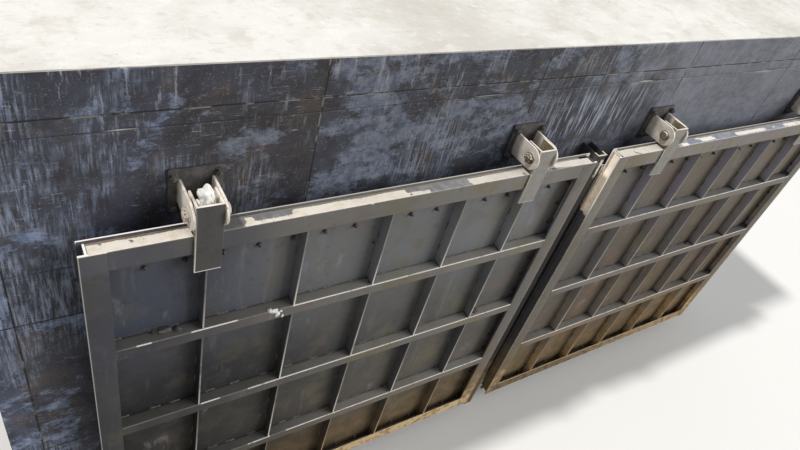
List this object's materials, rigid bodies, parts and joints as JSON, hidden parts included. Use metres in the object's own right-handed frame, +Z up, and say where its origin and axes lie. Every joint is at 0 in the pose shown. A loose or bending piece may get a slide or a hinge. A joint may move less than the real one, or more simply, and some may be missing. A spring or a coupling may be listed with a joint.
{
  "type": "twin flap sluice gate",
  "caption": "Twin top-hinged steel flap gates with ribbed leaves, hung on pinned brackets from a concrete headworks with two water passages.",
  "frame": {"origin": "middle of the underside of the concrete base", "axes": "+X along the gate, +Y into the wall, away from the leaves, +Z up"},
  "size_m": [6.382, 1.415, 3.28],
  "materials": {
    "concrete": "matt cast concrete",
    "leaf_steel": "dull grey-green primer with mud, rust and cement residue",
    "skin_steel": "dull grey plate stained with mud and rust",
    "hinge_steel": "dull grey steel with cement residue",
    "fixed_steel": "dull grey steel",
    "rusty_post": "rusty steel",
    "rusty_pin": "rusty steel",
    "seal_rubber": "matt black"
  },
  "bodies": {
    "headworks": {"base_slab": "concrete", "left_abutment": "concrete", "centre_pier": "concrete", "right_abutment": "concrete", "headwall": "concrete", "deck_slab": "concrete", "left_seat_frame": "fixed_steel", "right_seat_frame": "fixed_steel", "centre_post": "rusty_post", "hinge_bracket_1": "hinge_steel", "hinge_bracket_2": "hinge_steel", "hinge_bracket_3": "hinge_steel", "hinge_bracket_4": "hinge_steel", "hinge_pin_1": "rusty_pin", "hinge_pin_2": "rusty_pin", "hinge_pin_3": "rusty_pin", "hinge_pin_4": "rusty_pin"},
    "left_leaf": {"left_skin_plate": "skin_steel", "left_top_rail": "leaf_steel", "left_bottom_rail": "leaf_steel", "left_outer_stile": "leaf_steel", "left_inner_stile": "leaf_steel", "left_upper_stringer": "leaf_steel", "left_middle_stringer": "leaf_steel", "left_lower_stringer": "leaf_steel", "left_ribs": "leaf_steel", "left_outer_hanger": "hinge_steel", "left_inner_hanger": "hinge_steel", "left_seal": "seal_rubber"},
    "right_leaf": {"right_skin_plate": "skin_steel", "right_top_rail": "leaf_steel", "right_bottom_rail": "leaf_steel", "right_outer_stile": "leaf_steel", "right_inner_stile": "leaf_steel", "right_upper_stringer": "leaf_steel", "right_middle_stringer": "leaf_steel", "right_lower_stringer": "leaf_steel", "right_ribs": "leaf_steel", "right_outer_hanger": "hinge_steel", "right_inner_hanger": "hinge_steel", "right_seal": "seal_rubber"}
  },
  "joints": [
    {"name": "left_leaf_swing", "type": "hinge", "parent": "headworks", "child": "left_leaf", "pos_m": [-1.46, -0.75, 2.725], "axis": [-1, 0, 0], "range_deg": [0, 80]},
    {"name": "right_leaf_swing", "type": "hinge", "parent": "headworks", "child": "right_leaf", "pos_m": [1.46, -0.75, 2.725], "axis": [-1, 0, 0], "range_deg": [0, 80]}
  ]
}
